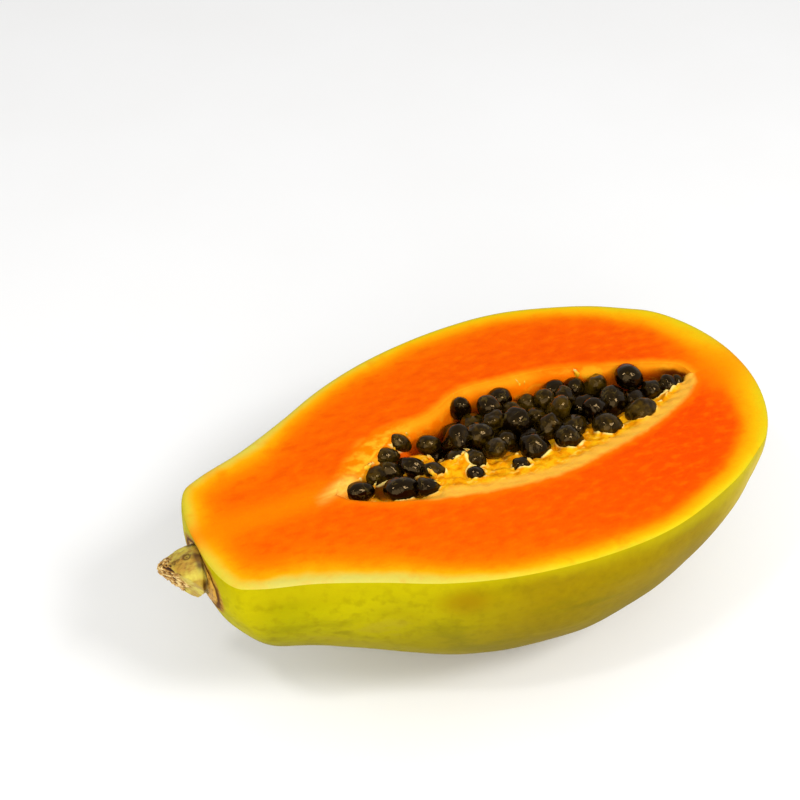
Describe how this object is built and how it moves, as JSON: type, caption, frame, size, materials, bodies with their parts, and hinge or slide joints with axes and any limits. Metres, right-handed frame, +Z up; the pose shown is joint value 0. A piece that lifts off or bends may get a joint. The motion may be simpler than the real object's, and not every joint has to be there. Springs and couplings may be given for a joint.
{
  "type": "halved papaya",
  "caption": "Ripe papaya cut in half lengthwise, lying on its back, with black seeds heaped in the open hollow and a short broken stem stub.",
  "frame": {"origin": "bottom centre of the whole part's box, on the surface that the half lies on", "axes": "+X along the fruit from the stem to the blossom end, +Y across it, +Z up out of the cut face"},
  "size_m": [0.1696, 0.096, 0.0599],
  "materials": {
    "fruit": "satin",
    "seed_coat": "gloss",
    "stem": "matte"
  },
  "bodies": {
    "root": {"papaya_half": "fruit", "seeds": "seed_coat", "stem": "stem"}
  },
  "joints": []
}
